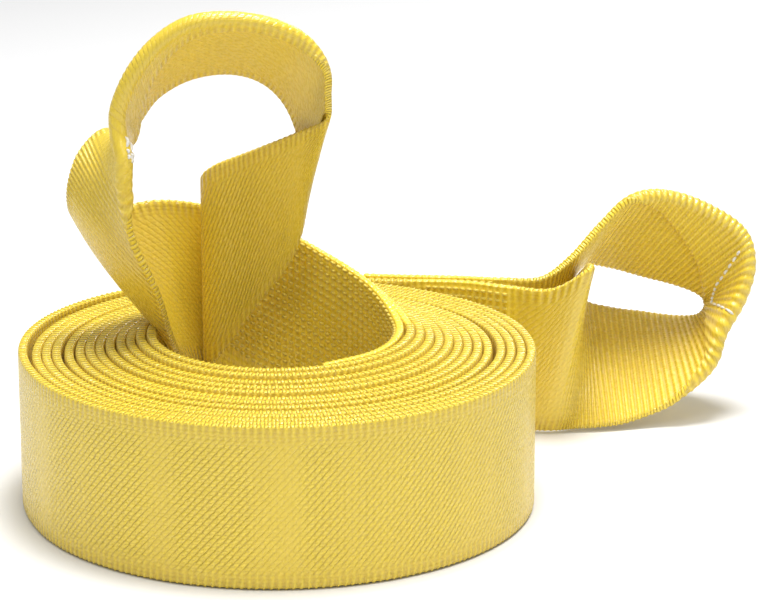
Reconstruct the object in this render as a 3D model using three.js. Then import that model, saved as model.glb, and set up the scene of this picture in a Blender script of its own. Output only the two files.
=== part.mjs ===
// A flat webbing tow strap, rolled up on its edge, with a sewn loop eye at each end.
// Millimetres, +Z up. The roll's axis is vertical and the roll stands on Z = 0. One end of the
// strap climbs out of the roll's core as an upright eye. The other leaves the back of the roll
// as a short tail that ends in an eye lying beside it.
//
// The strap is one length of webbing. It is divided here where it changes its work: the level
// turns and the proud core turns of the roll, the two plies of each sewn splice, and the legs and
// crown of each eye.
import * as THREE from 'three';

// Driving dimensions
const WEBBING_WIDTH = 76.2;
const WEBBING_THICKNESS = 4.2;
const FOLDED_THICKNESS = 8.6;
const ROLL_RADIUS = 123;
const TURN_PITCH = 4.55;
const TURN_COUNT = 12.8;
const TAIL_ANGLE = 76;
const CORE_LIFT = 9;
const LIFTED_TURNS = 2.4;
const THREAD_RADIUS = 0.8;
const CLEARANCE = 0.3;

// Sewing. Rows and bars are placed by their share of the webbing's width.
const STITCH_ROW_SHARES = [0.14, 0.38, 0.62, 0.86];
const INNER_SPLICE_STITCHES = { from: 0.4, to: 5, pointsPerRow: 12 };
const OUTER_SPLICE_STITCHES = { from: 1.6, to: 3, pointsPerRow: 5 };
const UPPER_SEAM_BAR = [[21.6, 0.1], [21.2, 0.5], [21.6, 0.9]];
const OUTER_SEAM_BAR = [[14.4, 0.1], [14.9, 0.5], [15.4, 0.1]];

// Length of strap, in stations, over which a crown's fold begins outside it and is full inside it
const FOLD_LEAD_IN = 1.5;
const FOLD_RUN_IN = 1;

const WEBBING_ROUGHNESS = 0.55;
const THREAD_ROUGHNESS = 0.7;

// Fineness of the faceted surfaces
const STEPS_PER_TURN = 32;
const STEPS_PER_STATION = 3;
const STEPS_ACROSS = 3;
const THREAD_STEPS_PER_POINT = 2;
const THREAD_SIDES = 6;
const SLOPE_PROBE = 0.01;

const webbingColour = new THREE.Color(0.86, 0.7, 0.1);
const foldedColour = new THREE.Color(0.9, 0.76, 0.2);
const yellowThread = new THREE.Color(0.82, 0.66, 0.12);
const whiteThread = new THREE.Color(0.93, 0.92, 0.88);

const rollCentreRadius = ROLL_RADIUS - WEBBING_THICKNESS / 2;
const coreRadius = rollCentreRadius - TURN_PITCH * TURN_COUNT;
const coreAngle = (TAIL_ANGLE + 360 * TURN_COUNT) % 360;
const levelTurns = TURN_COUNT - LIFTED_TURNS;
const plyInset = 2 * CLEARANCE;
const plySpacing = WEBBING_THICKNESS + 4 * CLEARANCE;

const tailTurn = THREE.MathUtils.degToRad(TAIL_ANGLE);
const rollStart = [rollCentreRadius * Math.cos(tailTurn), rollCentreRadius * Math.sin(tailTurn)];

// A station is one line across the strap, from one selvedge to the other:
// [x, y, z of selvedge A, x, y, z of selvedge B].

// A station standing upright on the core's wall, which closes in by one turn pitch in each turn.
// The depth is how far the ply stands inside the strap's own spiral.
function wallStation(angle, depth, heightA, heightB) {
  const turn = THREE.MathUtils.degToRad(angle);
  const radius = coreRadius - (TURN_PITCH * (angle - coreAngle)) / 360 - depth;
  const x = radius * Math.cos(turn);
  const y = radius * Math.sin(turn);
  return [x, y, heightA, x, y, heightB];
}

const liftedTop = WEBBING_WIDTH + CORE_LIFT;

// The strap's inner end, from its cut end on the core's wall, up and round the upright eye, and
// back down to where it runs on into the roll. The eye has a half twist: selvedge A is the upper
// one where the strap sets out and the lower one where it comes back.
const upperStations = [
  wallStation(-70, plySpacing, liftedTop - 1, CORE_LIFT - 1),
  wallStation(-40, plySpacing, liftedTop - 0.5, CORE_LIFT - 0.5),
  wallStation(-12, plySpacing, liftedTop, CORE_LIFT),
  wallStation(12, plySpacing, 88, 10),
  wallStation(40, plySpacing, 98, 16),
  wallStation(75, plySpacing + 1, 113, 28),
  [-13, 52, 128, -13, 52, 40],
  [-28, 45, 141, -28, 45, 50],
  [-35, 37, 150, -35, 37, 56],
  [-30, 29, 158, -29, 29, 62],
  [-14, 22, 166, -12, 29, 86],
  [8, 8, 178, 6, 28, 112],
  [20, -5, 189, 14, 27, 140],
  [26, -12, 203, 14, 24, 166],
  [24, -16, 217, 8, 19, 185],
  [13, -18, 230, -1, 17, 197],
  [-3, -20, 238, -12, 16, 204],
  [-22, -21, 241, -26, 16, 206],
  [-40, -21, 239, -42, 15, 203],
  [-55, -21, 230, -56, 14, 195],
  [-67, -21, 216, -64, 12, 185],
  [-75, -20, 198, -68, 12, 177],
  [-75, -22, 184, -72, 14, 176],
  [-70, -27, 174, -80, 13, 178],
  [-67, -28, 159, -87, 10, 175],
  [-62, -24, 135, -94, 5, 167],
  [-54, -14, 106, -98, 6, 153],
  [-50, 4, 80, -92, 18, 145],
  [-47, 20, 64, -78, 31, 141],
  [-41, 36, 58, -59, 41, 138],
  [-28, 52, 51, -35, 50.5, 133],
  wallStation(94, plyInset, 38, 121),
  wallStation(76, plyInset, 28, 111),
  wallStation(58, plyInset, 20, 102),
  wallStation(40, plyInset, 14, 94),
  wallStation(22, plyInset, 10.5, 88),
  wallStation(coreAngle, 0, CORE_LIFT, liftedTop),
];

// The strap's outer end, from the back of the roll along the tail, round the lying eye and back
// to its cut end behind the tail.
const outerStations = [
  [...rollStart, 0, ...rollStart, WEBBING_WIDTH],
  [62, 109.6, 0.6, 62, 109.6, 77.6],
  [94, 102, 1, 94, 101, 79],
  [116, 96.5, 1, 118, 90, 79],
  [126, 95, 1, 138, 82, 80],
  [136, 94, 1, 156, 78, 87],
  [144, 94, 1, 159, 94, 86],
  [152, 94, 1.5, 155, 126, 72],
  [164, 94, 2.5, 160, 150, 54],
  [178, 96, 4, 176, 158, 47],
  [194, 100, 9, 192, 160, 44],
  [209, 104, 18, 208, 158, 42],
  [221, 108, 30, 219, 154, 43],
  [230, 114, 45, 224, 150, 47],
  [239, 120, 62, 225, 150, 52],
  [244, 124, 80, 221, 150, 57],
  [239, 128, 97, 209, 154, 61],
  [222, 130, 110, 192, 157, 65],
  [200, 128, 118, 174, 158, 70],
  [182, 122, 117, 160, 152, 73],
  [166, 114, 105, 150, 138, 66],
  [150, 106, 90, 138, 120, 48],
  [134, 100, 81, 127, 107, 22],
  [114, 102, 80, 112, 103.5, 4],
  [92, 108, 79.5, 92, 108, 2.5],
  [64, 114.6, 78.5, 64, 114.6, 1.5],
  [44, 119.2, 78, 44, 119.2, 1],
];

// Where each end's strap is divided, counted in stations.
const upperCuts = { splice: 5.4, crownStart: 13.6, crownEnd: 20.5, mainPly: 31 };
const outerCuts = { splice: 1.4, eye: 3.2, band: 8.6, crownStart: 12.5, crownEnd: 17.5, backPly: 22.8 };

// Share of the folded thickness along an eye: none on the legs, all of it on the crown.
function foldShare(place, start, end) {
  const rise = THREE.MathUtils.smoothstep(place, start - FOLD_LEAD_IN, start + FOLD_RUN_IN);
  const fall = THREE.MathUtils.smoothstep(place, end - FOLD_RUN_IN, end + FOLD_LEAD_IN);
  return rise * (1 - fall);
}

// A route gives, for a place along the strap, its two selvedges and its thickness.
function stationRoute(stations, crownStart, crownEnd) {
  const selvedge = (first) => new THREE.CatmullRomCurve3(
    stations.map((s) => new THREE.Vector3(s[first], s[first + 1], s[first + 2])), false, 'catmullrom', 0.5);
  const curveA = selvedge(0);
  const curveB = selvedge(3);
  const last = stations.length - 1;
  return (place) => {
    const share = foldShare(place, crownStart, crownEnd);
    return {
      a: curveA.getPoint(THREE.MathUtils.clamp(place / last, 0, 1)),
      b: curveB.getPoint(THREE.MathUtils.clamp(place / last, 0, 1)),
      thickness: WEBBING_THICKNESS + (FOLDED_THICKNESS - WEBBING_THICKNESS) * share,
    };
  };
}

// The rolled part: a spiral wound inwards from the tail, whose last turns stand a little proud.
function spiralRoute(turns) {
  const angle = tailTurn + 2 * Math.PI * turns;
  const radius = rollCentreRadius - TURN_PITCH * turns;
  const lift = CORE_LIFT * THREE.MathUtils.smoothstep(turns, levelTurns, TURN_COUNT);
  const bottom = new THREE.Vector3(radius * Math.cos(angle), radius * Math.sin(angle), lift);
  const top = bottom.clone().setZ(lift + WEBBING_WIDTH);
  return { a: bottom, b: top, thickness: WEBBING_THICKNESS };
}

// A point on the strap: place along it, share of the width from selvedge A to B, and height
// above the middle of its thickness.
function strapPoint(route, place, share, height) {
  const here = route(place);
  const middle = here.a.clone().lerp(here.b, share);
  if (height === 0) return middle;
  const before = route(place - SLOPE_PROBE);
  const after = route(place + SLOPE_PROBE);
  const along = after.a.lerp(after.b, share).sub(before.a.lerp(before.b, share));
  const normal = along.cross(here.b.clone().sub(here.a)).normalize();
  return middle.addScaledVector(normal, height);
}

// How far along the route the given distance reaches on the side where the strap turns tightest.
function placeForDistance(route, place, distance, direction) {
  const speeds = [0, 0.5, 1].map((share) => {
    const here = strapPoint(route, place, share, 0);
    return strapPoint(route, place + direction * SLOPE_PROBE, share, 0).distanceTo(here) / SLOPE_PROBE;
  });
  return (direction * distance) / Math.min(...speeds);
}

// A length of strap as one closed solid: a box bent along the route. Each end stops short of
// its place by the clearance or a little more.
function strapGeometry(route, from, to, steps) {
  const start = from + placeForDistance(route, from, CLEARANCE, 1);
  const stop = to + placeForDistance(route, to, CLEARANCE, -1);
  const across = route === spiralRoute ? 1 : STEPS_ACROSS;
  const geometry = new THREE.BoxGeometry(1, 1, 1, across, 1, steps);
  const position = geometry.attributes.position;
  for (let i = 0; i < position.count; i += 1) {
    const place = THREE.MathUtils.lerp(start, stop, position.getZ(i) + 0.5);
    const height = position.getY(i) * route(place).thickness;
    const point = strapPoint(route, place, position.getX(i) + 0.5, height);
    position.setXYZ(i, point.x, point.y, point.z);
  }
  geometry.computeVertexNormals();
  return geometry;
}

// A sewn thread as one continuous bead lying just off the strap's face.
// Each point is [place along the strap, share of the width].
function threadGeometry(route, points) {
  const path = new THREE.CatmullRomCurve3(points.map(([place, share]) => {
    const height = route(place).thickness / 2 + 3 * CLEARANCE + 1.5 * THREAD_RADIUS;
    return strapPoint(route, place, share, height);
  }));
  const section = new THREE.Shape();
  section.absarc(0, 0, THREAD_RADIUS, 0, 2 * Math.PI);
  return new THREE.ExtrudeGeometry(section, {
    steps: THREAD_STEPS_PER_POINT * points.length,
    curveSegments: THREAD_SIDES / 2,
    bevelEnabled: false,
    extrudePath: path,
  });
}

// Lengthwise rows of stitching joined at their ends into one thread.
function stitchRows({ from, to, pointsPerRow }) {
  return STITCH_ROW_SHARES.flatMap((share, row) => {
    const points = Array.from({ length: pointsPerRow }, (_, i) => [
      THREE.MathUtils.lerp(from, to, i / (pointsPerRow - 1)), share]);
    return row % 2 === 0 ? points : points.reverse();
  });
}

const group = new THREE.Group();

function addPiece(name, geometry, color, roughness) {
  const material = new THREE.MeshStandardMaterial({ color, roughness, metalness: 0 });
  const mesh = new THREE.Mesh(geometry, material);
  mesh.name = name;
  group.add(mesh);
}

const upperRoute = stationRoute(upperStations, upperCuts.crownStart, upperCuts.crownEnd);
const outerRoute = stationRoute(outerStations, outerCuts.crownStart, outerCuts.crownEnd);
const upperEnd = upperStations.length - 1;
const outerEnd = outerStations.length - 1;

function addStrap(name, route, from, to, color) {
  const stepsPerUnit = route === spiralRoute ? STEPS_PER_TURN : STEPS_PER_STATION;
  const steps = Math.round((to - from) * stepsPerUnit);
  addPiece(name, strapGeometry(route, from, to, steps), color, WEBBING_ROUGHNESS);
}

addStrap('rolled_webbing', spiralRoute, 0, levelTurns, webbingColour);
addStrap('core_turns', spiralRoute, levelTurns, TURN_COUNT, webbingColour);

addStrap('inner_splice_inner_ply', upperRoute, 0, upperCuts.splice, webbingColour);
addStrap('inner_splice_outer_ply', upperRoute, upperCuts.mainPly, upperEnd, webbingColour);
addStrap('upper_eye_front_leg', upperRoute, upperCuts.splice, upperCuts.crownStart, webbingColour);
addStrap('upper_eye_crown', upperRoute, upperCuts.crownStart, upperCuts.crownEnd, foldedColour);
addStrap('upper_eye_rear_leg', upperRoute, upperCuts.crownEnd, upperCuts.mainPly, webbingColour);

addStrap('tail_webbing', outerRoute, 0, outerCuts.splice, webbingColour);
addStrap('outer_splice_front_ply', outerRoute, outerCuts.splice, outerCuts.eye, webbingColour);
addStrap('outer_splice_back_ply', outerRoute, outerCuts.backPly, outerEnd, webbingColour);
addStrap('outer_eye_front_leg', outerRoute, outerCuts.eye, outerCuts.band, webbingColour);
addStrap('outer_eye_lower_band', outerRoute, outerCuts.band, outerCuts.crownStart, webbingColour);
addStrap('outer_eye_crown', outerRoute, outerCuts.crownStart, outerCuts.crownEnd, foldedColour);
addStrap('outer_eye_back_leg', outerRoute, outerCuts.crownEnd, outerCuts.backPly, webbingColour);

function addThread(name, route, points, color) {
  addPiece(name, threadGeometry(route, points), color, THREAD_ROUGHNESS);
}

addThread('inner_splice_thread', upperRoute, stitchRows(INNER_SPLICE_STITCHES), yellowThread);
addThread('outer_splice_thread', outerRoute, stitchRows(OUTER_SPLICE_STITCHES), yellowThread);
addThread('upper_eye_fold_seam', upperRoute, UPPER_SEAM_BAR, whiteThread);
addThread('outer_eye_fold_seam', outerRoute, OUTER_SEAM_BAR, whiteThread);

// The origin is the middle of the footprint, on the surface that the strap stands on.
const bounds = new THREE.Box3().setFromObject(group);
group.position.set(-(bounds.min.x + bounds.max.x) / 2, -(bounds.min.y + bounds.max.y) / 2, -bounds.min.z);

export default group;
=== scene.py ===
"""A flat yellow webbing tow strap, rolled on its edge, with a folded and sewn eye at each end.

The strap is made as three detailed lengths of webbing that stand for the CAD's plain ones:
the roll, the inner end with the upright eye, and the outer end with the lying eye.
Lengths are in millimetres from the roll's axis, and become metres when a mesh is made.
"""

import math

import bpy
import numpy as np
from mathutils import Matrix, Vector


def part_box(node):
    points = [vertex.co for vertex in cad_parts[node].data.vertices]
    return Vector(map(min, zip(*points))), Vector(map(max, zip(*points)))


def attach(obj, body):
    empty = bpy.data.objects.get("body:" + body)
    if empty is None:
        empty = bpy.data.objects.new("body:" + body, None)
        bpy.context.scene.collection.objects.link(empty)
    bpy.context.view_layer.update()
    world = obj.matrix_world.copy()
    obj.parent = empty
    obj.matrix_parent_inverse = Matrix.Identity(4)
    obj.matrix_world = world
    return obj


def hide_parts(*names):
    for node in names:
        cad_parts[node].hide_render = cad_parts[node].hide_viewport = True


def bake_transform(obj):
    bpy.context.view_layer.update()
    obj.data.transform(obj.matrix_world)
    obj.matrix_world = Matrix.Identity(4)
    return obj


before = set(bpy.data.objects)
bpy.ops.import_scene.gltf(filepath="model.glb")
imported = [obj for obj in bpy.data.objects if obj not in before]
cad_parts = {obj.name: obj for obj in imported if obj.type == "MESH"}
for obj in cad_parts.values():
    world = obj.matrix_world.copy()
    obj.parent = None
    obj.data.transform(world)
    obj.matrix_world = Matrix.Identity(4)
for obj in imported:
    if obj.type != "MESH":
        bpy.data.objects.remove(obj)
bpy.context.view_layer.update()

# ---------------------------------------------------------------- dimensions, in millimetres
MM = 0.001
WIDTH = 76.2                 # 3 inch webbing
THICKNESS = 4.0
ROLLED_THICKNESS = 4.4       # the turns press on each other, with no gap between most of them
SELVEDGE = 1.5               # how far in the edge is rounded
SELVEDGE_CUTS = np.array([0, 0.16, 0.4, 0.7, 1])    # in shares of that, where its strips end
EDGE_THINNING = 0.82         # 0 leaves a selvedge at its full thickness, and 1 makes it sharp
ROLLED_EDGE_THINNING = 0.6

ROLL_CENTRE_RADIUS = 120.9   # of the middle of the outermost turn
TURN_PITCH = 4.55
TURN_COUNT = 12.8
TAIL_ANGLE = 76              # where the tail leaves the roll, in degrees
TAIL_TURN = math.radians(TAIL_ANGLE)
ROLL_START = [ROLL_CENTRE_RADIUS * math.cos(TAIL_TURN), ROLL_CENTRE_RADIUS * math.sin(TAIL_TURN)]
CORE_LIFT = 9                # how far the innermost turn rises
LIFTED_TOP = WIDTH + CORE_LIFT
CORE_RADIUS = ROLL_CENTRE_RADIUS - TURN_PITCH * TURN_COUNT
CORE_ANGLE = (TAIL_ANGLE + 360 * TURN_COUNT) % 360
PLY_INSET = 0.6              # the inner splice's outer ply, from the line of the roll's turns
PLY_SPACING = 5.4            # the inner splice's inner ply, from the same line

FOLD_RADIUS = 2.15           # of the middle of the webbing, where a flap is folded right over
FOLD_GROWTH = 3              # the fold's radius grows with the flap's width over this much
FULL_FOLD = 6                # a flap this wide lies flat; a narrower one only curls

RIB_PITCH = 3.3              # weft ribs along the strap
TWILL_PITCH = 3.7            # slanting lines of the twill, measured across the strap
YARN_PITCH = 1.85            # warp yarns across the strap
FIBRE_PITCH = 0.55
RIB_HEIGHT = 0.06
SELVEDGE_TEETH = 0.2         # how far the selvedges' loops stand out between the ribs
ROLLED_TEETH = 0.35
EXTRA_RIB = 0.22             # the weft ribs stand out more where the strap is bent hard
EDGE_RIBS_END = 9            # how far in the selvedges' ribs reach,
EDGE_RIBS_FADE = 5           # and over how much of that they fade
# Strengths of the weave's two looks, ribs across the strap and twill lines, from 0 to 1.
EDGE_RIBBING, LEFT_LEG_RIBBING, LYING_EYE_RIBBING = 0.9, 0.7, 0.85
ROLLED_TWILL, EVEN_TWILL, UPPER_TWILL, EXTRA_LEG_TWILL = 1, 0.5, 0.4, 0.5

STITCH_ROWS = 20             # lengthwise rows of stitches in a splice
STITCH_ROW = WIDTH / STITCH_ROWS
STITCH_STEP = 3.6
BEAD_HEIGHT = 0.2            # how far a sewn ply puffs up between its stitches
SPLICE_THREAD_RADIUS = 0.75
UPPER_SEAM_RADIUS = 0.8
OUTER_SEAM_RADIUS = 0.7

# The roll's axis, in metres from the low corner of the CAD roll's own box.
AXIS_FROM_LEFT, AXIS_FROM_FRONT = 0.1216, 0.1204
roll_low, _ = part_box("rolled_webbing")
AXIS = Vector((roll_low.x + AXIS_FROM_LEFT, roll_low.y + AXIS_FROM_FRONT, 0.0))


def place(points):
    """Millimetres from the roll's axis to metres in the part's frame."""
    return np.asarray(points, float) * MM + np.array([AXIS.x, AXIS.y, 0.0])


def smoothstep(x, low, high):
    t = np.clip((np.asarray(x, float) - low) / (high - low), 0, 1)
    return t * t * (3 - 2 * t)


def hump(x, middle, reach):
    """A smooth rise to 1 at the middle, and 0 further than reach from it."""
    return np.clip(1 - ((x - middle) / reach) ** 2, 0, 1) ** 2


def run_along(points):
    """Length along a line of points, up to each of them."""
    steps = np.linalg.norm(np.diff(points, axis=0), axis=1)
    return np.concatenate([[0], np.cumsum(steps)])


# ---------------------------------------------------------------- the strap's routes
def wall(angle, depth, height_a, height_b):
    """A station that stands upright against the core, this deep inside the roll's own line."""
    turn = math.radians(angle)
    radius = CORE_RADIUS - TURN_PITCH * (angle - CORE_ANGLE) / 360 - depth
    x, y = radius * math.cos(turn), radius * math.sin(turn)
    return [x, y, height_a, x, y, height_b]


# Each station is one line across the strap: x, y, z of selvedge A, then of selvedge B.
UPPER_STATIONS = [
    wall(-70, PLY_SPACING, LIFTED_TOP - 1, CORE_LIFT - 1),
    wall(-40, PLY_SPACING, LIFTED_TOP - 0.5, CORE_LIFT - 0.5),
    wall(-12, PLY_SPACING, LIFTED_TOP, CORE_LIFT),
    wall(12, PLY_SPACING, 88, 10),
    wall(40, PLY_SPACING, 98, 16),
    wall(75, PLY_SPACING + 1, 113, 28),
    [-13, 52, 128, -13, 52, 40],
    [-28, 45, 141, -28, 45, 50],
    [-35, 37, 150, -35, 37, 56],
    [-30, 29, 158, -29, 29, 62],
    [-14, 22, 166, -12, 29, 86],
    [8, 8, 178, 6, 28, 112],
    [22.5, -5, 188, 12.5, 27, 140],
    [24, -12, 203, 12, 24, 166],
    [22.5, -16, 217, 7, 19, 185],
    [13, -18, 230, -1, 17, 197],
    [-3, -20, 238, -12, 16, 204],
    [-22, -21, 241, -26, 16, 206],
    [-40, -21, 239, -42, 15, 203],
    [-55, -21, 230, -56, 14, 195],
    [-67, -21, 216, -64, 12, 185],
    [-75, -20, 198, -68, 12, 177],
    [-75, -22, 184, -72, 14, 176],
    [-72, -27, 174, -80, 13, 179],
    [-71.5, -28, 159, -87, 10, 176],
    [-67, -24, 135, -94, 5, 168],
    [-56, -14, 106, -98, 6, 153],
    [-51, 4, 80, -96, 18, 138],
    [-47, 20, 64, -81, 31, 136],
    [-41, 36, 58, -59, 41, 138],
    [-28, 52, 51, -35, 50.5, 133],
    wall(94, PLY_INSET, 38, 121),
    wall(76, PLY_INSET, 28, 111),
    wall(58, PLY_INSET, 20, 102),
    wall(40, PLY_INSET, 14, 94),
    wall(22, PLY_INSET, 10.5, 88),
    wall(CORE_ANGLE, 0, CORE_LIFT, LIFTED_TOP),
]
# Station number, width of the flap turned in at selvedge A, and how far the middle of the strap
# bows off the line between the selvedges.
UPPER_FOLDS = [
    (0, 0, 0), (13, 0, 0), (14, 2.5, 0), (15.2, 5.5, 0), (16.2, 6.5, 0), (17.2, 8, 0),
    (18.4, 13, 0), (19.4, 21, 0), (20.4, 31, 0), (21, 35, 0), (22.6, 35, 0),
    (23.2, 24, 0), (23.8, 6, 0), (24.6, 0, 0), (25.3, 0, -0.5), (26.2, 0, -5),
    (27, 0, -3.5), (27.8, 0, -1), (28.4, 0, 0), (36, 0, 0),
]

OUTER_STATIONS = [
    [*ROLL_START, 0, *ROLL_START, WIDTH],
    [62, 109.6, 0.6, 62, 109.6, 77.6],
    [94, 102, 1, 94, 101, 79],
    [116, 96.5, 1, 118, 90, 79],
    [126, 95, 1, 138, 82, 80],
    [136, 94, 1, 155, 78, 91],
    [144, 94, 1, 157.5, 94, 89],
    [152, 94, 1.5, 155, 126, 72],
    [164, 94, 2.5, 160, 150, 54],
    [178, 96, 4, 176, 158, 47],
    [194, 100, 9, 192, 160, 44],
    [212, 104, 19, 208, 158, 42],
    [225, 108, 31, 219, 154, 43],
    [231, 114, 46, 224, 150, 47],
    [241, 120, 62, 225, 150, 52],
    [246, 124, 80, 221, 150, 57],
    [241, 128, 97, 209, 154, 61],
    [222, 130, 110, 192, 157, 65],
    [200, 128, 118, 174, 158, 70],
    [182, 122, 117, 160, 152, 73],
    [166, 114, 105, 150, 138, 66],
    [150, 106, 90, 138, 120, 48],
    [134, 100, 81, 127, 107, 22],
    [114, 102, 80, 112, 103.5, 4],
    [92, 108, 79.5, 92, 108, 2.5],
    [64, 114.6, 78.5, 64, 114.6, 1.5],
    [44, 119.2, 78, 44, 119.2, 1],
]
OUTER_FOLDS = [
    (0, 0, 0), (10, 0, 0), (11, 3, 0), (12, 6, 0), (12.5, 11, 0), (13, 22, 0),
    (13.5, 28, 0), (14, 31, 0), (14.5, 34, 0), (15, 37, 0), (15.5, 38, 0),
    (16, 36, 0), (16.5, 31, 0), (17, 24, 0), (17.5, 17, 0), (18, 11, 0),
    (18.5, 6, 0), (19, 2, 0), (19.6, 0, 0), (26, 0, 0),
]
TABLE_ROUNDING = 0.6         # in stations, how far each corner of a fold table is rounded


def catmull_rom(points, t):
    """Uniform Catmull-Rom through points, at station numbers t. Returns places and slopes."""
    p = np.asarray(points, float)
    p = np.vstack([2 * p[0] - p[1], p, 2 * p[-1] - p[-2]])
    i = np.clip(np.floor(t).astype(int), 0, len(points) - 2)
    f = (t - i)[:, None]
    p0, p1, p2, p3 = p[i], p[i + 1], p[i + 2], p[i + 3]
    v0, v1 = (p2 - p0) / 2, (p3 - p1) / 2
    c3, c2 = 2 * p1 - 2 * p2 + v0 + v1, -3 * p1 + 3 * p2 - 2 * v0 - v1
    return ((c3 * f + c2) * f + v0) * f + p1, (3 * c3 * f + 2 * c2) * f + v0


def smooth_table(t, keys, values):
    """Table values at t, with their corners rounded."""
    shifts = np.linspace(-TABLE_ROUNDING, TABLE_ROUNDING, 9)
    return np.mean([np.interp(t + d, keys, values) for d in shifts], axis=0)


# ---------------------------------------------------------------- the roll's turns
LIFT_START = 3               # turns from the outside at which they start to rise
LIFT_POWER = 1.6
LEVEL_ERROR = 0.4            # how unevenly the turns stand,
LEVEL_CYCLES = 0.37          # with this many waves in each turn,
LEVEL_FADE = (11.6, 12.6)    # fading out between these turns

# How far each turn's right side stands out and its left side stands in, outermost turn first.
RIGHT_SLACK = [2.9, 2.7, 2.4, 2.1, 0.5, 0.2, 0, 0, 0, 0, 0, 0, 0]
LEFT_SLACK = [0, 0.4, 0.5, 0.7, 1.9, 2.6, 2.7, 2.8, 3.2, 3.8, 3.9, 4.1, 4.5]
LOOSE_END = 5.5              # how far the outermost turn stands off behind, at the left
# Where these are, in shares of a turn from the tail.
RIGHT_RISE, RIGHT_FALL = (0.2, 0.72), (0.82, 1)
LEFT_MIDDLE, LEFT_REACH = 0.27, 0.26
LOOSE_MIDDLE, LOOSE_REACH = 0.18, 0.17


def slack(n):
    """Change in the roll's radius where its turns are wound less tightly."""
    part, turn = n % 1, np.floor(n)
    right = np.interp(turn, range(len(RIGHT_SLACK)), RIGHT_SLACK)
    left = np.interp(turn, range(len(LEFT_SLACK)), LEFT_SLACK)
    right_side = smoothstep(part, *RIGHT_RISE) * (1 - smoothstep(part, *RIGHT_FALL))
    left_side = hump(part, LEFT_MIDDLE, LEFT_REACH)
    loose = LOOSE_END * (n < 1) * hump(part, LOOSE_MIDDLE, LOOSE_REACH)
    return right * right_side - left * left_side + loose


def lower_selvedge(n):
    """Places of the roll's lower selvedge, n turns in from the tail."""
    angle = TAIL_TURN + 2 * math.pi * n
    radius = ROLL_CENTRE_RADIUS - TURN_PITCH * n + slack(n)
    lift = CORE_LIFT * np.clip((n - LIFT_START) / (TURN_COUNT - LIFT_START), 0, 1) ** LIFT_POWER
    error = LEVEL_ERROR * np.sin(2 * math.pi * LEVEL_CYCLES * n)
    lift = lift + error * smoothstep(n, 0, 1) * (1 - smoothstep(n, *LEVEL_FADE))
    return np.stack([radius * np.cos(angle), radius * np.sin(angle), lift], 1)


def spiral(turns):
    """Selvedges A (bottom) and B (top) of the roll, and their slopes."""
    step = 1e-3
    clearance = 0.15             # of the lower selvedge above the floor, for its loops
    turns = np.asarray(turns, float)
    a = lower_selvedge(turns)
    slope = (lower_selvedge(turns + step) - lower_selvedge(turns - step)) / (2 * step)
    a[:, 2] = np.maximum(a[:, 2], clearance)
    b = a + np.array([0, 0, WIDTH])
    return a, b, slope, slope


# ---------------------------------------------------------------- webbing meshes
def cross_positions(count):
    """Shares of the width at which the strap is cut into strips, closer at the selvedges."""
    edge = SELVEDGE * SELVEDGE_CUTS / WIDTH
    middle = np.linspace(SELVEDGE / WIDTH, 1 - SELVEDGE / WIDTH, count)[1:-1]
    return np.concatenate([edge, middle, 1 - edge[::-1]])


class Strap:
    """One length of strap: stations along it, with a flap folded in at selvedge A."""

    def __init__(self, a, b, slope_a, slope_b, flap, bow):
        self.a, self.b, self.slope_a, self.slope_b = a, b, slope_a, slope_b
        self.flap, self.bow = flap, bow
        self.fold_radius = FOLD_RADIUS * (1 - np.exp(-flap / FOLD_GROWTH))
        self.fold_turn = math.pi * smoothstep(flap, 0, FULL_FOLD)
        self.length = np.linalg.norm(b - a, axis=1)
        self.across = (b - a) / self.length[:, None]
        self.run = run_along((a + b) / 2)
        self.girth = flap + self.length + (math.pi / 2 - 1) * self.fold_radius

    def part(self, first, last):
        """The stations from first up to last, as a strap of its own."""
        tables = (self.a, self.b, self.slope_a, self.slope_b, self.flap, self.bow)
        return Strap(*(table[first:last] for table in tables))

    def section(self, t):
        """Cross-section at the lengths t (one row for each station) from selvedge A's free edge:
        place along the line A to B and height off it. Past the fold's turn the flap is flat."""
        radius = np.maximum(self.fold_radius, 1e-6)[:, None]
        before_fold = math.pi / 2 * radius - t + self.flap[:, None]
        turn = np.clip(before_fold / radius, 0, self.fold_turn[:, None])
        beyond = np.maximum(before_fold - turn * radius, 0)
        x = radius - np.minimum(before_fold, 0) - radius * np.sin(turn) - beyond * np.cos(turn)
        z = radius * (1 - np.cos(turn)) + beyond * np.sin(turn)
        share = np.clip(x / self.length[:, None], 0, 1)
        return x, z + 4 * self.bow[:, None] * share * (1 - share)

    def surface(self, t, height):
        """Points at lengths t across (stations x columns), height off the middle of the webbing."""
        step = 0.05
        x, z = self.section(t)
        x1, z1 = self.section(t + step)
        x0, z0 = self.section(t - step)
        tx, tz = x1 - x0, z1 - z0
        size = np.maximum(np.hypot(tx, tz), 1e-9)
        tx, tz = tx / size, tz / size
        x, z = x - tz * height, z + tx * height
        share = np.clip(x / self.length[:, None], 0, 1)[:, :, None]
        along = self.slope_a[:, None] * (1 - share) + self.slope_b[:, None] * share
        across = np.broadcast_to(self.across[:, None], along.shape)
        normal = np.cross(along, across)
        normal /= np.linalg.norm(normal, axis=2, keepdims=True)
        return self.a[:, None] + across * x[:, :, None] + normal * z[:, :, None]


def tube_faces(rows, columns):
    """Faces round a tube of rows x columns points, then the flat strips that close its ends."""
    index = np.arange(rows * columns).reshape(rows, columns)
    following = np.roll(index, -1, axis=1)
    corners = [index[:-1], index[1:], following[1:], following[:-1]]
    sides = np.stack(corners, axis=2).reshape(-1, 4)
    caps = []
    for row, flip in ((index[0], False), (index[-1], True)):
        for j in range(columns // 2 - 1):
            quad = [row[j], row[j + 1], row[columns - 2 - j], row[columns - 1 - j]]
            caps.append(quad[::-1] if flip else quad)
    return sides, np.array(caps)


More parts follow.
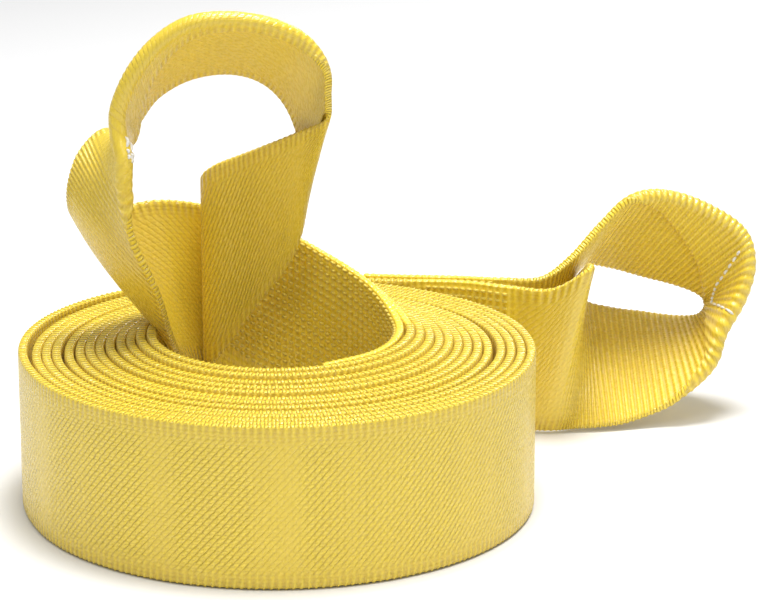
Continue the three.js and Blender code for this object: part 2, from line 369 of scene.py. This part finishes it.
def webbing(name, strap, columns, thickness=THICKNESS, edge_thinning=EDGE_THINNING,
            teeth=SELVEDGE_TEETH, splice=0.0, ribbing=0.0, twill=EVEN_TWILL, mirrored=False):
    """Closed mesh of a length of webbing, with its weft ribs, rounded selvedges and their loops.

    Splice, ribbing and twill are strengths from 0 to 1, one for each station or one for all."""
    share = cross_positions(columns)
    across = share * WIDTH
    depth = np.minimum(share, 1 - share) * WIDTH
    near_edge = 1 - np.clip(depth / SELVEDGE, 0, 1)
    splice, ribbing, twill = (np.reshape(x, (-1, 1)) for x in (splice, ribbing, twill))

    rib = np.cos(2 * math.pi * strap.run / RIB_PITCH)[:, None]
    outward = np.where(share < 0.5, -1, 1)
    t = share * strap.girth[:, None] + teeth * rib * near_edge * outward
    lengthwise = np.cos(2 * math.pi * strap.run / STITCH_STEP)[:, None]
    beads = lengthwise + np.cos(2 * math.pi * across / STITCH_ROW)
    relief = (RIB_HEIGHT + EXTRA_RIB * ribbing) * rib + splice * BEAD_HEIGHT * beads
    half = (thickness / 2 + relief) * np.sqrt(1 - near_edge ** 2 * edge_thinning)
    top, bottom = strap.surface(t, half), strap.surface(t, -half)
    ring = np.concatenate([top, bottom[:, ::-1]], axis=1)
    sides, caps = tube_faces(*ring.shape[:2])
    edge_ribbing = EDGE_RIBBING * np.clip((EDGE_RIBS_END - depth) / EDGE_RIBS_FADE, 0, 1)
    ribbing = np.maximum(ribbing, edge_ribbing)
    woven_across = WIDTH - across if mirrored else across
    attributes = {
        "strap": both_sides(strap.run[:, None], woven_across[None, :], ribbing),
        "finish": both_sides(splice, np.broadcast_to(twill, top.shape[:2]), 0),
    }
    return make_mesh(name, ring.reshape(-1, 3), np.concatenate([sides, caps]), attributes, len(sides))


def both_sides(*values):
    """Three numbers at each point, across the top of the webbing and back across its underside."""
    top = np.stack(np.broadcast_arrays(*values), axis=2)
    return np.concatenate([top, top[:, ::-1]], axis=1).reshape(-1, 3)


def make_mesh(name, points, faces, attributes=None, smooth_count=None):
    """An object of four-cornered faces. Faces after the first smooth_count are shaded flat."""
    mesh = bpy.data.meshes.new(name)
    mesh.vertices.add(len(points))
    mesh.vertices.foreach_set("co", place(points).astype(np.float32).ravel())
    mesh.loops.add(faces.size)
    mesh.loops.foreach_set("vertex_index", faces.astype(np.int32).ravel())
    mesh.polygons.add(len(faces))
    starts = np.arange(len(faces)) * faces.shape[1]
    mesh.polygons.foreach_set("loop_start", starts.astype(np.int32))
    smooth = np.ones(len(faces), bool)
    if smooth_count is not None:
        smooth[smooth_count:] = False
    mesh.polygons.foreach_set("use_smooth", smooth)
    for key, values in (attributes or {}).items():
        attribute = mesh.attributes.new(key, "FLOAT_VECTOR", "POINT")
        attribute.data.foreach_set("vector", values.astype(np.float32).ravel())
    mesh.update(calc_edges=True)
    mesh.validate()
    return add_object(name, mesh)


def add_object(name, data):
    thing = bpy.data.objects.new(name, data)
    bpy.context.scene.collection.objects.link(thing)
    return thing


# ---------------------------------------------------------------- the three lengths of webbing
ROLL_COLUMNS = 17
END_COLUMNS = 56
ROLL_SPACING = RIB_PITCH / 3
END_SPACING = RIB_PITCH / 4
ROLL_SAMPLES, END_SAMPLES = 40000, 6000    # places at which the length along a strap is summed


def roll_strap_at_even_steps():
    fine = np.linspace(0, TURN_COUNT, ROLL_SAMPLES)
    run = run_along(spiral(fine)[0])
    turns = np.interp(np.arange(0, run[-1], ROLL_SPACING), run, fine)
    turns = np.append(turns, TURN_COUNT)
    no_flap = np.zeros(len(turns))
    return Strap(*spiral(turns), no_flap, no_flap)


def end_strap(stations, folds):
    """A strap through the stations at even steps, and the station number of each step."""
    table = np.array(stations, float)
    fine = np.linspace(0, len(table) - 1, END_SAMPLES)
    middle = (catmull_rom(table[:, :3], fine)[0] + catmull_rom(table[:, 3:], fine)[0]) / 2
    run = run_along(middle)
    steps = int(run[-1] / END_SPACING)
    t = np.interp(np.linspace(0, run[-1], steps + 1), run, fine)
    a, slope_a = catmull_rom(table[:, :3], t)
    b, slope_b = catmull_rom(table[:, 3:], t)
    keys, flaps, bows = np.array(folds, float).T
    return t, Strap(a, b, slope_a, slope_b, smooth_table(t, keys, flaps), smooth_table(t, keys, bows))


def between(t, rise, fall):
    """1 on the stations between rise and fall, each a pair over which it changes from or to 0."""
    return smoothstep(t, *rise) * (1 - smoothstep(t, *fall))


roll_strap = roll_strap_at_even_steps()
rolled = webbing("rolled_strap", roll_strap, ROLL_COLUMNS, thickness=ROLLED_THICKNESS,
                 edge_thinning=ROLLED_EDGE_THINNING, teeth=ROLLED_TEETH, twill=ROLLED_TWILL)

# Where each look of an end strap starts and stops, in station numbers.
upper_t, upper_strap = end_strap(UPPER_STATIONS, UPPER_FOLDS)
inner_splice = 1 - smoothstep(upper_t, 7.2, 7.8)
outer_ply = smoothstep(upper_t, 30.4, 31.2)
front_leg = between(upper_t, (7.5, 8.5), (12.5, 14))
left_leg = between(upper_t, (23.4, 24.4), (25.4, 26.6))
inner_end = webbing("inner_end_strap", upper_strap, END_COLUMNS, splice=inner_splice + outer_ply,
                    ribbing=LEFT_LEG_RIBBING * left_leg,
                    twill=UPPER_TWILL + EXTRA_LEG_TWILL * front_leg, mirrored=True)

outer_t, outer_strap = end_strap(OUTER_STATIONS, OUTER_FOLDS)
front_splice = between(outer_t, (1.0, 1.4), (2.9, 3.3))
back_splice = smoothstep(outer_t, 22.6, 23.0)
eye_part = smoothstep(outer_t, 4, 8)
outer_end = webbing("outer_end_strap", outer_strap, END_COLUMNS, splice=front_splice + back_splice,
                    ribbing=LYING_EYE_RIBBING * eye_part)

# ---------------------------------------------------------------- sewing
STITCH_SIDES = 6
STITCH_RINGS = 5
STITCH_END = 0.55            # how thin a stitch is where it goes into the webbing
STITCH_ARCH = 1.5            # in thread radii, how far a stitch rises above its ends,
STITCH_DEPTH = 0.75          # and how far its ends are sunk in the webbing


def stitch_path(strap, stitch, radius):
    """Points along one stitch, given as (run 0, across 0, run 1, across 1, side of the webbing)."""
    run0, t0, run1, t1, side = stitch
    path = []
    for k in range(STITCH_RINGS):
        f = k / (STITCH_RINGS - 1)
        run, t = run0 + (run1 - run0) * f, t0 + (t1 - t0) * f
        lift = THICKNESS / 2 + radius * (STITCH_ARCH * math.sin(math.pi * f) - STITCH_DEPTH)
        i = int(np.clip(np.searchsorted(strap.run, run), 1, len(strap.run) - 1))
        near = strap.part(i - 1, i + 1)
        pair = near.surface(np.full((2, 1), t), np.full((2, 1), side * lift))[:, 0]
        g = (run - strap.run[i - 1]) / (strap.run[i] - strap.run[i - 1])
        path.append(pair[0] * (1 - g) + pair[1] * g)
    return np.array(path)


def stitch_points(path, radius):
    """Rings of points round one stitch."""
    direction = np.gradient(path, axis=0)
    direction /= np.linalg.norm(direction, axis=1, keepdims=True)
    askew = [0.3, 0.5, 0.81]     # a direction that no stitch runs in
    helper = np.cross(direction[0], askew)
    points = []
    for k, d in enumerate(direction):
        side1 = np.cross(d, np.cross(helper, d))
        side1 /= np.linalg.norm(side1)
        side2 = np.cross(d, side1)
        r = radius * (STITCH_END if k in (0, STITCH_RINGS - 1) else 1)
        for j in range(STITCH_SIDES):
            w = 2 * math.pi * j / STITCH_SIDES
            points.append(path[k] + r * (math.cos(w) * side1 + math.sin(w) * side2))
    return points


def stitch_faces(base):
    """Faces of one stitch whose first point has the number base. Each of its six-sided ends is
    closed by two faces."""
    faces = []
    for k in range(STITCH_RINGS - 1):
        for j in range(STITCH_SIDES):
            p, q = base + k * STITCH_SIDES + j, base + k * STITCH_SIDES + (j + 1) % STITCH_SIDES
            faces.append([p, q, q + STITCH_SIDES, p + STITCH_SIDES])
    last = base + (STITCH_RINGS - 1) * STITCH_SIDES
    faces.append([base + 3, base + 2, base + 1, base])
    faces.append([base + 5, base + 4, base + 3, base])
    faces.append([last, last + 1, last + 2, last + 3])
    faces.append([last, last + 3, last + 4, last + 5])
    return faces


def stitch_mesh(name, strap, stitches, radius):
    points, faces = [], []
    for stitch in stitches:
        faces += stitch_faces(len(points))
        points += stitch_points(stitch_path(strap, stitch, radius), radius)
    return make_mesh(name, np.array(points), np.array(faces))


def stitch_rows(strap, t, first, last):
    """Lengthwise rows of stitches between two station numbers."""
    margin_before, margin_after = 0.45, 0.65
    start, stop = np.interp([first, last], t, strap.run)
    result = []
    for k in range(STITCH_ROWS):
        row = STITCH_ROW * (k + 0.5)
        run = start
        while run < stop - STITCH_STEP:
            result.append((run + margin_before, row, run + STITCH_STEP - margin_after, row, 1))
            run += STITCH_STEP
    return result


def seam(strap, t, corners, step, gap):
    """A line of stitches through (station, across) corners, on the side of the folded-in flap."""
    result = []
    for (s0, c0), (s1, c1) in zip(corners, corners[1:]):
        r0, r1 = np.interp([s0, s1], t, strap.run)
        size = math.hypot(r1 - r0, c1 - c0)
        count = max(1, round(size / step))
        for k in range(count):
            f0, f1 = k / count, (k + 1) / count - gap / size
            result.append((r0 + (r1 - r0) * f0, c0 + (c1 - c0) * f0,
                           r0 + (r1 - r0) * f1, c0 + (c1 - c0) * f1, -1))
    return result


# The seams' corners: station number, and the length across from the flap's free edge.
UPPER_CORNERS = [(22.95, 8), (22.95, 26), (22.6, 30.5), (22.0, 33)]
UPPER_SECOND_CORNERS = [(23.1, 22), (22.8, 27), (22.3, 29)]
OUTER_CORNERS = [(13.5, 26.7), (13.65, 9), (14.9, 11), (15.6, 32.7)]
inner_thread = stitch_mesh("inner_splice_stitches", upper_strap,
                           stitch_rows(upper_strap, upper_t, 0.15, 7.3), SPLICE_THREAD_RADIUS)
outer_thread = stitch_mesh("outer_splice_stitches", outer_strap,
                           stitch_rows(outer_strap, outer_t, 1.4, 3.1)
                           + stitch_rows(outer_strap, outer_t, 23.2, 25.9), SPLICE_THREAD_RADIUS)
upper_seam = stitch_mesh("upper_fold_stitches", upper_strap,
                         seam(upper_strap, upper_t, UPPER_CORNERS, step=3, gap=0.5)
                         + seam(upper_strap, upper_t, UPPER_SECOND_CORNERS, step=3, gap=0.5),
                         UPPER_SEAM_RADIUS)
outer_seam = stitch_mesh("outer_fold_stitches", outer_strap,
                         seam(outer_strap, outer_t, OUTER_CORNERS, step=4.2, gap=1.2),
                         OUTER_SEAM_RADIUS)


# ---------------------------------------------------------------- materials
class Nodes:
    """Small helper for building a node tree."""

    def __init__(self, name):
        self.material = bpy.data.materials.new(name)
        self.material.use_nodes = True
        self.tree = self.material.node_tree
        self.shader = self.tree.nodes["Principled BSDF"]

    def add(self, kind, **settings):
        node = self.tree.nodes.new(kind)
        for key, value in settings.items():
            setattr(node, key, value)
        return node

    def link(self, source, target):
        self.tree.links.new(source, target)

    def fill(self, socket, value):
        """Sets a socket to a number or a colour, or links an output to it."""
        if isinstance(value, (int, float)):
            socket.default_value = value
        elif isinstance(value, tuple):
            socket.default_value = (*value, 1)
        else:
            self.link(value, socket)

    def finish(self, **values):
        """Sets the shader's sockets, named with _ for a space."""
        for key, value in values.items():
            self.fill(self.shader.inputs[key.replace("_", " ")], value)

    def parts(self, attribute):
        """The three numbers of a vector attribute, and the vector."""
        vector = self.add("ShaderNodeAttribute", attribute_name=attribute).outputs["Vector"]
        split = self.add("ShaderNodeSeparateXYZ")
        self.link(vector, split.inputs[0])
        return (*split.outputs, vector)

    def noise(self, vector, scale, detail):
        node = self.add("ShaderNodeTexNoise")
        self.link(vector, node.inputs["Vector"])
        node.inputs["Scale"].default_value = scale
        node.inputs["Detail"].default_value = detail
        return node.outputs["Fac"]

    def bump(self, height, strength, distance):
        node = self.add("ShaderNodeBump")
        node.inputs["Strength"].default_value = strength
        node.inputs["Distance"].default_value = distance
        self.link(height, node.inputs["Height"])
        self.link(node.outputs[0], self.shader.inputs["Normal"])

    def math(self, operation, first, second=None):
        node = self.add("ShaderNodeMath", operation=operation)
        self.fill(node.inputs[0], first)
        if second is not None:
            self.fill(node.inputs[1], second)
        return node.outputs[0]

    def plus(self, first, second):
        return self.math("ADD", first, second)

    def minus(self, first, second):
        return self.math("SUBTRACT", first, second)

    def times(self, first, second):
        return self.math("MULTIPLY", first, second)

    def wave(self, value, period):
        """A sine of value, from 0 to 1."""
        sine = self.math("SINE", self.times(value, 2 * math.pi / period))
        return self.plus(self.times(sine, 0.5), 0.5)

    def cord(self, value, period):
        """Rounded cords from 0 to 1, with a narrow groove between them at every period."""
        sine = self.math("SINE", self.times(value, math.pi / period))
        groove = self.minus(1, self.math("ABSOLUTE", sine))
        return self.minus(1, self.times(groove, groove))

    def blend(self, factor, first, second):
        """Plain numbers: first at factor 0, second at factor 1."""
        return self.plus(self.times(self.minus(second, first), factor), first)

    def mix(self, factor, first, second):
        """Colours: first at factor 0, second at factor 1."""
        node = self.add("ShaderNodeMix", data_type="RGBA")
        colours = [s for s in node.inputs if s.type == "RGBA"]
        factors = [s for s in node.inputs if s.type == "VALUE" and s.name == "Factor"]
        for socket, value in zip((factors[0], *colours), (factor, first, second)):
            self.fill(socket, value)
        return [s for s in node.outputs if s.type == "RGBA"][0]


# The webbing's noise, in millimetres along and across the strap.
SMALL_NOISE_SCALE, SMALL_NOISE_DETAIL = 0.4, 3
BROAD_NOISE_SCALE, BROAD_NOISE_DETAIL = 0.03, 4
YARN_WANDER = 1.6            # how far the noise moves the twill's lines and the yarns,
RIB_WANDER = 0.5             # and the ribs, as a share of that
STRETCH_SCALE = 0.02         # the twill's relief changes over lengths of about 1 / this
STRETCH_RANGE = (-0.6, 2.4)  # before it is cut off at 1 and at the least relief
LEAST_RELIEF = 0.3
# The weave's height, from 0 to 1 for the bump's distance in metres, and what is mixed into it.
BUMP_DISTANCE = 0.0006
PRESSED_HEIGHT = 0.6         # where the twill is pressed flat
RIB_IN_TWILL, YARN_IN_TWILL, YARN_IN_RIBS, BEADS_IN_SPLICE = 0.2, 0.4, 0.2, 0.7
FIBRE_HEIGHT, FIBRE_SLOPE = 0.08, 0.12
# How much of the bright colour comes from the weave (painted shade in its grooves), the broad noise
# and a splice's sewing (painted light on the sewn plies).
WEAVE_PAINTED_SHADE, BROAD_TONE, SPLICE_PAINTED_LIGHT = 0.85, 0.25, 0.5
LEAST_ROUGHNESS, ROUGHNESS_RANGE = 0.15, 0.25


def twill_weave(n, along, across, shift, strength, rib):
    """Height of slanting twill lines that yarns and ribs cut into, and of the yarns alone."""
    slope = TWILL_PITCH / RIB_PITCH
    slanted = n.plus(n.minus(n.times(along, slope), across), shift)
    twill = n.cord(slanted, TWILL_PITCH)
    yarn = n.cord(n.plus(across, shift), YARN_PITCH)
    plain = n.blend(RIB_IN_TWILL, n.times(twill, n.blend(YARN_IN_TWILL, 1, yarn)), rib)
    # The twill stands out in some stretches of the strap and is pressed flat in others.
    stretch = n.add("ShaderNodeTexNoise", noise_dimensions="1D")
    n.link(n.times(along, STRETCH_SCALE), stretch.inputs["W"])
    stretch.inputs["Scale"].default_value = 1
    relief = n.blend(stretch.outputs["Fac"], *STRETCH_RANGE)
    relief = n.math("MINIMUM", n.math("MAXIMUM", relief, LEAST_RELIEF), 1)
    return n.blend(n.times(strength, relief), PRESSED_HEIGHT, plain), yarn


def stitched_beads(n, along, across):
    """Beads between the stitches where two plies are sewn together."""
    lengthwise = n.wave(n.plus(along, STITCH_STEP / 4), STITCH_STEP)
    sideways = n.wave(n.plus(across, STITCH_ROW / 4), STITCH_ROW)
    return n.blend(0.5, lengthwise, sideways)


def webbing_material(name, bright, deep):
    n = Nodes(name)
    along, across, ribbing, on_strap = n.parts("strap")
    stitched, twill_strength, _, _ = n.parts("finish")
    noise = n.noise(on_strap, SMALL_NOISE_SCALE, SMALL_NOISE_DETAIL)
    shift = n.times(noise, YARN_WANDER)
    along_ribs = n.plus(along, n.times(shift, RIB_WANDER))
    rib = n.cord(along_ribs, RIB_PITCH)
    plain, yarn = twill_weave(n, along, across, shift, twill_strength, rib)
    ribbed = n.blend(YARN_IN_RIBS, n.wave(along_ribs, RIB_PITCH), yarn)
    weave = n.blend(ribbing, plain, ribbed)
    # The selvedges' own small loops.
    from_edge = n.math("MINIMUM", across, n.minus(WIDTH, across))
    at_edge = n.minus(1, n.math("MINIMUM", from_edge, 1))
    weave = n.blend(at_edge, weave, n.cord(n.plus(along, shift), RIB_PITCH / 2))
    weave = n.blend(n.times(stitched, BEADS_IN_SPLICE), weave, stitched_beads(n, along, across))
    fibre = n.wave(n.plus(across, n.times(along, FIBRE_SLOPE)), FIBRE_PITCH)
    n.bump(n.plus(weave, n.times(fibre, FIBRE_HEIGHT)), strength=1.0, distance=BUMP_DISTANCE)

    broad = n.noise(on_strap, BROAD_NOISE_SCALE, BROAD_NOISE_DETAIL)
    # Painted shade: the colour follows the weave's height, darker in its grooves and lighter on its
    # cords.
    painted_light_and_tone = n.plus(n.times(weave, WEAVE_PAINTED_SHADE), n.times(broad, BROAD_TONE))
    # Painted light: the sewn plies of the splices are made lighter, as if more light reached them.
    painted_light_and_tone = n.plus(painted_light_and_tone, n.times(stitched, SPLICE_PAINTED_LIGHT))
    roughness = n.plus(n.times(noise, ROUGHNESS_RANGE), LEAST_ROUGHNESS)
    n.finish(Base_Color=n.mix(painted_light_and_tone, deep, bright), Roughness=roughness, Specular_IOR_Level=0.9,
             Sheen_Weight=0.12, Sheen_Roughness=0.35, Sheen_Tint=(1.0, 0.97, 0.85))
    return n.material


def thread_material(name, light, dark):
    n = Nodes(name)
    position = n.add("ShaderNodeTexCoord").outputs["Object"]
    noise = n.noise(position, scale=900, detail=2)
    n.bump(noise, strength=0.38, distance=0.0002)
    n.finish(Base_Color=n.mix(noise, dark, light), Roughness=0.45, Sheen_Weight=0.3)
    return n.material


# OCHRE is the colour of the weave's painted groove shade, and also of the broad noise's darker tone.
YELLOW, OCHRE = (0.93, 0.70, 0.05), (0.60, 0.39, 0.03)
YELLOW_THREAD, DEEP_YELLOW_THREAD = (0.9, 0.72, 0.08), (0.62, 0.44, 0.05)
WHITE_THREAD, GREY_THREAD = (0.92, 0.91, 0.87), (0.7, 0.68, 0.62)
# The record's slot, the material that shows it and the pieces that have it.
finishes = [
    ("yellow_webbing", webbing_material("yellow_webbing", YELLOW, OCHRE),
     (rolled, inner_end, outer_end)),
    ("yellow_thread", thread_material("yellow_thread", YELLOW_THREAD, DEEP_YELLOW_THREAD),
     (inner_thread, outer_thread)),
    ("white_thread", thread_material("white_thread", WHITE_THREAD, GREY_THREAD),
     (upper_seam, outer_seam)),
]
for slot, material, pieces in finishes:
    for piece in pieces:
        piece.data.materials.append(material)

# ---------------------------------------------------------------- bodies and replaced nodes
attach(rolled, "roll")
for piece in (inner_end, inner_thread, upper_seam):
    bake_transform(piece)
for piece in (outer_end, outer_thread, outer_seam):
    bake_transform(piece)

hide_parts("rolled_webbing", "core_turns")
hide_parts("inner_splice_inner_ply", "inner_splice_outer_ply",
            "upper_eye_front_leg", "upper_eye_crown", "upper_eye_rear_leg")
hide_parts("tail_webbing", "outer_splice_front_ply", "outer_splice_back_ply",
            "outer_eye_front_leg", "outer_eye_lower_band", "outer_eye_crown", "outer_eye_back_leg")
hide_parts("inner_splice_thread")
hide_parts("outer_splice_thread")
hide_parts("upper_eye_fold_seam")
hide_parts("outer_eye_fold_seam")


# ---------------------------------------------------------------- floor and lights, in metres
FLOOR_REACH = 6.0
FLOOR_HEIGHT = -0.0005
FLOOR_GREY = 0.85
floor_corners = [(x * FLOOR_REACH, y * FLOOR_REACH, FLOOR_HEIGHT)
                 for x, y in ((-1, -1), (1, -1), (1, 1), (-1, 1))]
floor_mesh = bpy.data.meshes.new("floor")
floor_mesh.from_pydata(floor_corners, [], [(0, 1, 2, 3)])
floor = add_object("floor", floor_mesh)
floor_finish = Nodes("pale_floor")
floor_finish.finish(Base_Color=(FLOOR_GREY, FLOOR_GREY, FLOOR_GREY), Roughness=0.9)
floor.data.materials.append(floor_finish.material)

LIGHT_TARGET = Vector((0, 0, 0.08))
# Name, position, diameter in metres and power in watts.
LIGHTS = [
    ("top_light", (0.1, 0.0, 1.8), 0.8, 37),
    ("front_light", (-0.35, -1.3, 1.6), 0.7, 6),
    ("back_light", (0.6, 1.5, 0.9), 0.5, 5),
    ("left_strip", (-0.75, -1.6, 0.35), 0.15, 0.3),
    ("right_strip", (1.6, -0.75, 0.35), 0.2, 1.4),
]
for name, position, diameter, power in LIGHTS:
    data = bpy.data.lights.new(name, "AREA")
    data.shape = "DISK"
    data.size = diameter
    data.energy = power
    light = add_object(name, data)
    light.location = position
    light.rotation_mode = "QUATERNION"
    light.rotation_quaternion = (LIGHT_TARGET - Vector(position)).to_track_quat("-Z", "Y")

world = bpy.data.worlds.new("studio")
world.use_nodes = True
background = world.node_tree.nodes["Background"]
background.inputs["Color"].default_value = (1, 1, 1, 1)
background.inputs["Strength"].default_value = 0.38
bpy.context.scene.world = world
bpy.context.scene.view_settings.view_transform = "Standard"

# ---------------------------------------------------------------- camera
CAMERA_DISTANCE = 1.5        # from a point on the roll's axis, this high
CAMERA_TARGET_HEIGHT = 0.038
RISE = math.radians(18.4)    # how far above that point the camera stands, as an angle
YAW = math.radians(1.97)     # how far it looks to the right of the roll
PITCH = math.radians(16.17)  # and down
camera_data = bpy.data.cameras.new("camera")
camera_data.sensor_width = 36
camera_data.lens = 147.3
camera_data.clip_start, camera_data.clip_end = 0.1, 20
camera = add_object("camera", camera_data)
target = Vector((AXIS.x, AXIS.y, CAMERA_TARGET_HEIGHT))
camera.location = target + CAMERA_DISTANCE * Vector((0, -math.cos(RISE), math.sin(RISE)))
look = Vector((math.sin(YAW) * math.cos(PITCH), math.cos(YAW) * math.cos(PITCH), -math.sin(PITCH)))
camera.rotation_mode = "QUATERNION"
camera.rotation_quaternion = look.to_track_quat("-Z", "Y")
bpy.context.scene.camera = camera
